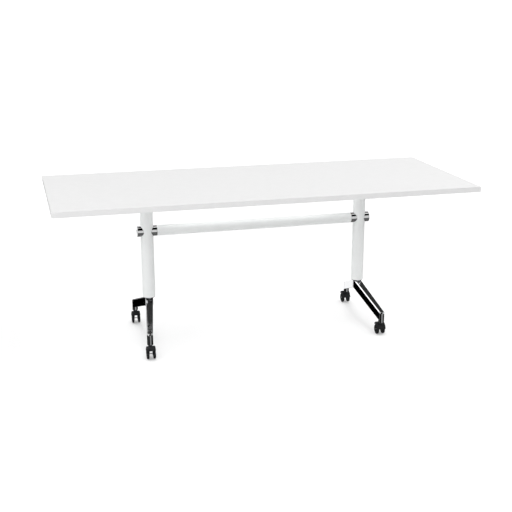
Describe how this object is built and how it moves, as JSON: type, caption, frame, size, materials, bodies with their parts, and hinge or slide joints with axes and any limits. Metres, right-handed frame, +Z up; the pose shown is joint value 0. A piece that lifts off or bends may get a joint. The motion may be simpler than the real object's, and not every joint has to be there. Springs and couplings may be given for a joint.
{
  "type": "flip top training table",
  "caption": "Flip top training table: a white top tilts upright on friction hinges over round columns joined by a cross tube, with splayed polished feet on swivel casters.",
  "frame": {"origin": "on the floor under the middle of the table top, top level", "axes": "+X along the length of the top, -Y towards the front edge that dips when it flips, +Z up"},
  "size_m": [2, 0.8, 0.76],
  "materials": {
    "white_melamine": "white melamine faced chipboard, fine satin texture",
    "white_edge_band": "white edge band, satin",
    "white_powder_coat": "very pale grey-white powder coat, satin",
    "chrome": "bright chrome plate",
    "polished_casting": "die cast, polished mirror bright",
    "grey_casting": "die cast, satin grey",
    "zinc_steel": "zinc plated steel",
    "black_steel": "black plated steel, satin",
    "bronze": "sintered bronze, satin",
    "friction_fibre": "pressed friction fibre, matt",
    "black_nylon": "black moulded nylon, fine texture",
    "wheel_polymer": "black wheel polymer, satin"
  },
  "bodies": {
    "frame": {"cross_tube": "white_powder_coat", "left_column": "white_powder_coat", "left_column_head": "grey_casting", "left_hinge_bush": "bronze", "left_outer_friction_washer": "friction_fibre", "left_inner_friction_washer": "friction_fibre", "left_tube_insert": "zinc_steel", "left_inner_collar": "chrome", "left_outer_collar": "chrome", "left_tie_bolt": "zinc_steel", "left_foot": "polished_casting", "left_foot_bolt": "zinc_steel", "right_column": "white_powder_coat", "right_column_head": "grey_casting", "right_hinge_bush": "bronze", "right_outer_friction_washer": "friction_fibre", "right_inner_friction_washer": "friction_fibre", "right_tube_insert": "zinc_steel", "right_inner_collar": "chrome", "right_outer_collar": "chrome", "right_tie_bolt": "zinc_steel", "right_foot": "polished_casting", "right_foot_bolt": "zinc_steel", "front_left_caster_stem": "black_steel", "rear_left_caster_stem": "black_steel", "front_right_caster_stem": "black_steel", "rear_right_caster_stem": "black_steel"},
    "top": {"table_top": "white_melamine", "edge_band": "white_edge_band", "left_top_bracket": "grey_casting", "left_hinge_pin": "zinc_steel", "left_bracket_screw_1": "zinc_steel", "left_bracket_screw_2": "zinc_steel", "left_bracket_screw_3": "zinc_steel", "left_bracket_screw_4": "zinc_steel", "right_top_bracket": "grey_casting", "right_hinge_pin": "zinc_steel", "right_bracket_screw_1": "zinc_steel", "right_bracket_screw_2": "zinc_steel", "right_bracket_screw_3": "zinc_steel", "right_bracket_screw_4": "zinc_steel"},
    "left_lever": {"left_release_lever": "black_nylon"},
    "right_lever": {"right_release_lever": "black_nylon"},
    "front_left_caster": {"front_left_caster_hood": "black_nylon", "front_left_axle": "zinc_steel"},
    "front_left_wheel_a": {"front_left_wheel_a": "wheel_polymer"},
    "front_left_wheel_b": {"front_left_wheel_b": "wheel_polymer"},
    "rear_left_caster": {"rear_left_caster_hood": "black_nylon", "rear_left_axle": "zinc_steel"},
    "rear_left_wheel_a": {"rear_left_wheel_a": "wheel_polymer"},
    "rear_left_wheel_b": {"rear_left_wheel_b": "wheel_polymer"},
    "front_right_caster": {"front_right_caster_hood": "black_nylon", "front_right_axle": "zinc_steel"},
    "front_right_wheel_a": {"front_right_wheel_a": "wheel_polymer"},
    "front_right_wheel_b": {"front_right_wheel_b": "wheel_polymer"},
    "rear_right_caster": {"rear_right_caster_hood": "black_nylon", "rear_right_axle": "zinc_steel"},
    "rear_right_wheel_a": {"rear_right_wheel_a": "wheel_polymer"},
    "rear_right_wheel_b": {"rear_right_wheel_b": "wheel_polymer"}
  },
  "joints": [
    {"name": "top_flip", "type": "hinge", "parent": "frame", "child": "top", "pos_m": [0, 0, 0.689], "axis": [1, 0, 0], "range_deg": [0, 90]},
    {"name": "left_lever_swing", "type": "hinge", "parent": "top", "child": "left_lever", "pos_m": [-0.578, 0, 0.689], "axis": [1, 0, 0], "range_deg": [-40, 0]},
    {"name": "right_lever_swing", "type": "hinge", "parent": "top", "child": "right_lever", "pos_m": [0.578, 0, 0.689], "axis": [1, 0, 0], "range_deg": [-40, 0]},
    {"name": "front_left_swivel", "type": "hinge", "parent": "frame", "child": "front_left_caster", "pos_m": [-0.578, -0.251, 0.062], "axis": [0, 0, 1], "continuous": true},
    {"name": "front_left_wheel_a_roll", "type": "hinge", "parent": "front_left_caster", "child": "front_left_wheel_a", "pos_m": [-0.59325, -0.267, 0.025], "axis": [1, 0, 0], "continuous": true},
    {"name": "front_left_wheel_b_roll", "type": "hinge", "parent": "front_left_caster", "child": "front_left_wheel_b", "pos_m": [-0.56275, -0.267, 0.025], "axis": [1, 0, 0], "continuous": true},
    {"name": "rear_left_swivel", "type": "hinge", "parent": "frame", "child": "rear_left_caster", "pos_m": [-0.578, 0.251, 0.062], "axis": [0, 0, 1], "continuous": true},
    {"name": "rear_left_wheel_a_roll", "type": "hinge", "parent": "rear_left_caster", "child": "rear_left_wheel_a", "pos_m": [-0.59325, 0.235, 0.025], "axis": [1, 0, 0], "continuous": true},
    {"name": "rear_left_wheel_b_roll", "type": "hinge", "parent": "rear_left_caster", "child": "rear_left_wheel_b", "pos_m": [-0.56275, 0.235, 0.025], "axis": [1, 0, 0], "continuous": true},
    {"name": "front_right_swivel", "type": "hinge", "parent": "frame", "child": "front_right_caster", "pos_m": [0.578, -0.251, 0.062], "axis": [0, 0, 1], "continuous": true},
    {"name": "front_right_wheel_a_roll", "type": "hinge", "parent": "front_right_caster", "child": "front_right_wheel_a", "pos_m": [0.56275, -0.235, 0.025], "axis": [1, 0, 0], "continuous": true},
    {"name": "front_right_wheel_b_roll", "type": "hinge", "parent": "front_right_caster", "child": "front_right_wheel_b", "pos_m": [0.59325, -0.235, 0.025], "axis": [1, 0, 0], "continuous": true},
    {"name": "rear_right_swivel", "type": "hinge", "parent": "frame", "child": "rear_right_caster", "pos_m": [0.578, 0.251, 0.062], "axis": [0, 0, 1], "continuous": true},
    {"name": "rear_right_wheel_a_roll", "type": "hinge", "parent": "rear_right_caster", "child": "rear_right_wheel_a", "pos_m": [0.56275, 0.267, 0.025], "axis": [1, 0, 0], "continuous": true},
    {"name": "rear_right_wheel_b_roll", "type": "hinge", "parent": "rear_right_caster", "child": "rear_right_wheel_b", "pos_m": [0.59325, 0.267, 0.025], "axis": [1, 0, 0], "continuous": true}
  ]
}
